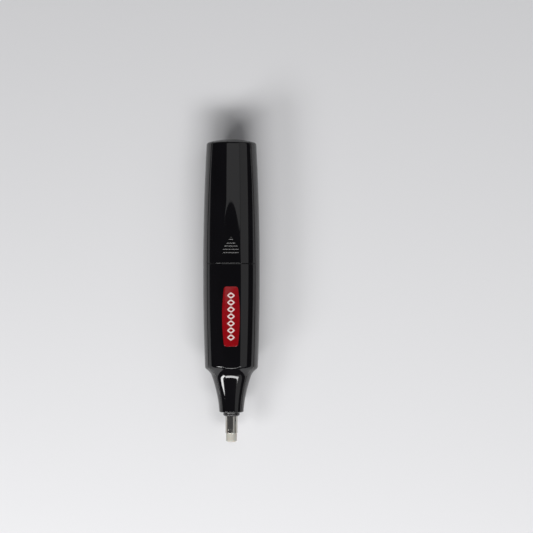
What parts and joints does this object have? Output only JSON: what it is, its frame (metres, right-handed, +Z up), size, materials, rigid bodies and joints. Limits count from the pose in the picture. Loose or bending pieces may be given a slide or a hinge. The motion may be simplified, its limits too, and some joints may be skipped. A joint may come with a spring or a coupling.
{
  "type": "electric eraser",
  "caption": "Battery-powered pen eraser: a motor inside a slim black casing spins a slotted chuck that holds a round white eraser refill.",
  "frame": {"origin": "centre of the eraser's box, on the surface that its flat back lies on", "axes": "+Y along the eraser towards its closed end, so the rubbing tip points to -Y; +Z up, out of the battery cover and badge side; +X across"},
  "size_m": [0.0258, 0.1381, 0.0213],
  "materials": {
    "black_gloss": "glossy black moulded ABS",
    "black_satin": "satin black moulded ABS",
    "badge_red": "satin red moulded insert",
    "polished_steel": "polished bare steel",
    "nickel_strip": "nickel-plated spring steel",
    "zinc_can": "zinc-plated deep-drawn steel",
    "cell_can": "nickel-plated can, with the whole cell's average density",
    "brass": "turned brass",
    "bronze": "sintered bronze and phosphor bronze strip",
    "copper": "enamelled copper",
    "ferrite": "sintered ferrite, dark and matt",
    "lamination": "stacked steel laminations",
    "natural_plastic": "uncoloured nylon",
    "white_vinyl": "matt white eraser vinyl",
    "cell_jacket": "plain shrunk label film",
    "red_covering": "wire covering",
    "black_covering": "wire covering",
    "white_covering": "wire covering"
  },
  "bodies": {
    "casing": {"badge_plate": "badge_red", "battery_cradle": "black_satin", "black_wire": "black_covering", "bridge_contact": "nickel_strip", "bridge_spring": "nickel_strip", "case_screw_1": "polished_steel", "case_screw_2": "polished_steel", "case_screw_3": "polished_steel", "case_screw_4": "polished_steel", "front_bearing": "bronze", "front_casing": "black_gloss", "left_brush": "copper", "left_cell_can": "cell_can", "left_cell_jacket": "cell_jacket", "left_magnet": "ferrite", "left_terminal": "brass", "motor_can": "zinc_can", "motor_end_cap": "natural_plastic", "negative_contact": "nickel_strip", "negative_spring": "nickel_strip", "nose_bush": "black_satin", "positive_contact": "nickel_strip", "rear_bearing": "bronze", "rear_casing": "black_gloss", "red_wire": "red_covering", "right_brush": "copper", "right_cell_can": "cell_can", "right_cell_jacket": "cell_jacket", "right_magnet": "ferrite", "right_terminal": "brass", "switch_block": "natural_plastic", "switch_contact": "bronze", "white_wire": "white_covering"},
    "battery_cover": {"battery_cover": "black_gloss"},
    "push_button": {"push_button": "black_satin"},
    "switch_leaf": {"switch_leaf": "bronze"},
    "rotor": {"motor_shaft": "polished_steel", "rotor_core": "lamination", "rotor_winding_1": "copper", "rotor_winding_2": "copper", "rotor_winding_3": "copper", "commutator": "copper", "chuck_adapter": "brass", "grub_screw": "polished_steel", "chuck_tube": "polished_steel"},
    "refill": {"eraser_refill": "white_vinyl"}
  },
  "joints": [
    {"name": "rotor_spin", "type": "hinge", "parent": "casing", "child": "rotor", "pos_m": [0, 0, 0.0105], "axis": [0, 1, 0], "continuous": true},
    {"name": "refill_slide", "type": "slide", "parent": "rotor", "child": "refill", "axis": [0, -1, 0], "range_m": [0, 0.024]},
    {"name": "battery_cover_slide", "type": "slide", "parent": "casing", "child": "battery_cover", "axis": [0, 1, 0], "range_m": [0, 0.058]},
    {"name": "push_button_press", "type": "slide", "parent": "casing", "child": "push_button", "axis": [0, 0, 1], "range_m": [0, 0.001], "stiffness_N_per_m": 1200, "springref_m": -0.0005},
    {"name": "switch_leaf_bend", "type": "hinge", "parent": "casing", "child": "switch_leaf", "pos_m": [0, -0.021, 0.0036], "axis": [-1, 0, 0], "range_deg": [0, 6.8]}
  ],
  "couplings": [
    {"joint": "switch_leaf_bend", "follows": "push_button_press", "rad_per_m": 117.6}
  ]
}
